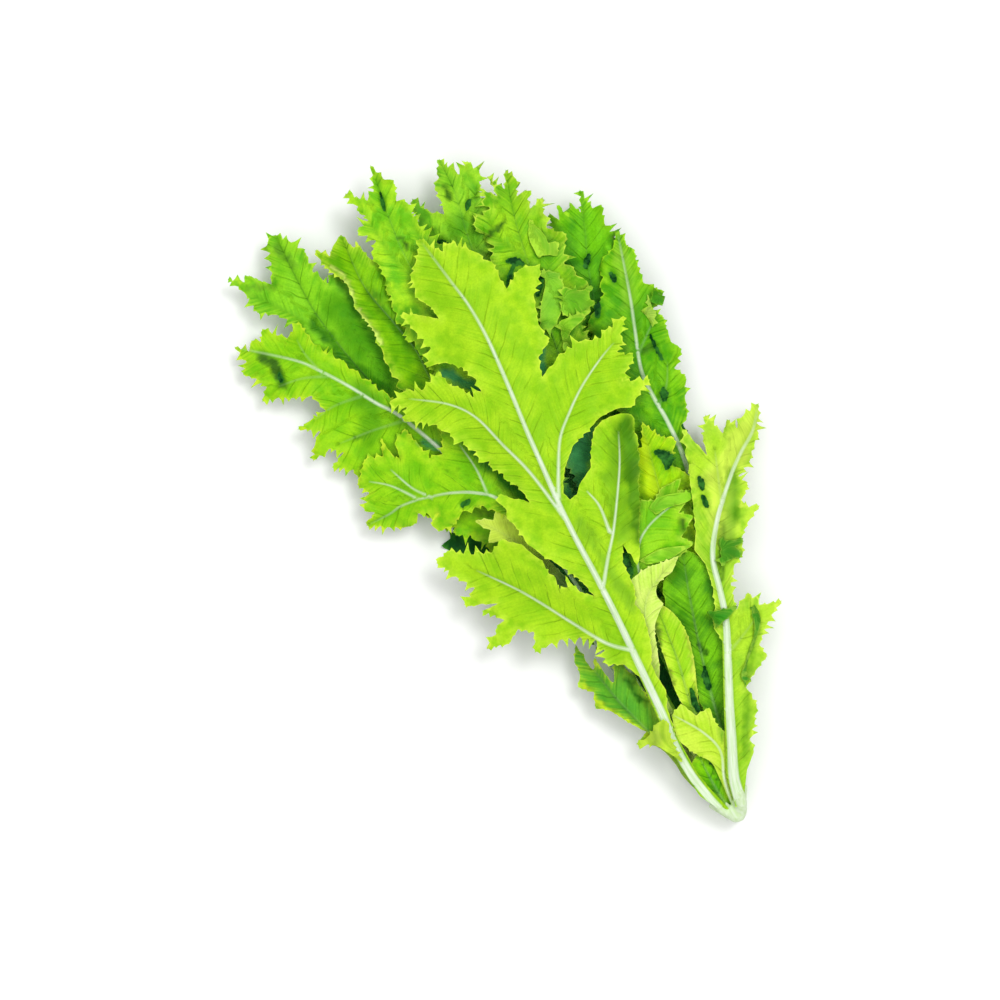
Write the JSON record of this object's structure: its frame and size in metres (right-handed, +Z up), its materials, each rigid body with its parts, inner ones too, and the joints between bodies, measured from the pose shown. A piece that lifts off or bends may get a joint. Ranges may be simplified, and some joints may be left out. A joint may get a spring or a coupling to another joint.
{
  "type": "curly endive head",
  "caption": "Loose head of curly endive lying on its side: jagged, ribbed green leaves fanned out from a short pale stump.",
  "frame": {"origin": "on the surface that the head lies on, at the flat spot of its lowest leaf under its weight", "axes": "+Z up, +Y along the head from the stump to the leaf tips, +X across it"},
  "size_m": [0.173, 0.301, 0.055],
  "materials": {
    "lime_leaf": "moist bright yellow-green leaf, satin",
    "green_leaf": "moist mid-green leaf, satin",
    "deep_green_leaf": "moist dark green leaf, satin",
    "pale_leaf": "pale yellow-green inner leaf, satin",
    "stump_skin": "pale mint-white stump, smooth and moist"
  },
  "bodies": {
    "root": {"leaf_under_left": "deep_green_leaf", "leaf_under_right": "deep_green_leaf", "leaf_right_top": "green_leaf", "leaf_right_back": "green_leaf", "leaf_far_left": "green_leaf", "leaf_top_right": "green_leaf", "leaf_fold": "green_leaf", "leaf_left": "lime_leaf", "leaf_top": "green_leaf", "leaf_curly": "lime_leaf", "leaf_star": "pale_leaf", "leaf_left_low": "lime_leaf", "leaf_basal_left": "green_leaf", "leaf_heart_dark": "deep_green_leaf", "leaf_heart_yellow": "lime_leaf", "leaf_heart_lobe": "green_leaf", "leaf_heart_bright": "green_leaf", "leaf_heart_curl": "pale_leaf", "leaf_heart_tuft": "green_leaf", "leaf_heart_low": "pale_leaf", "leaf_right": "lime_leaf", "leaf_front": "lime_leaf", "root_stump": "stump_skin"}
  },
  "joints": []
}
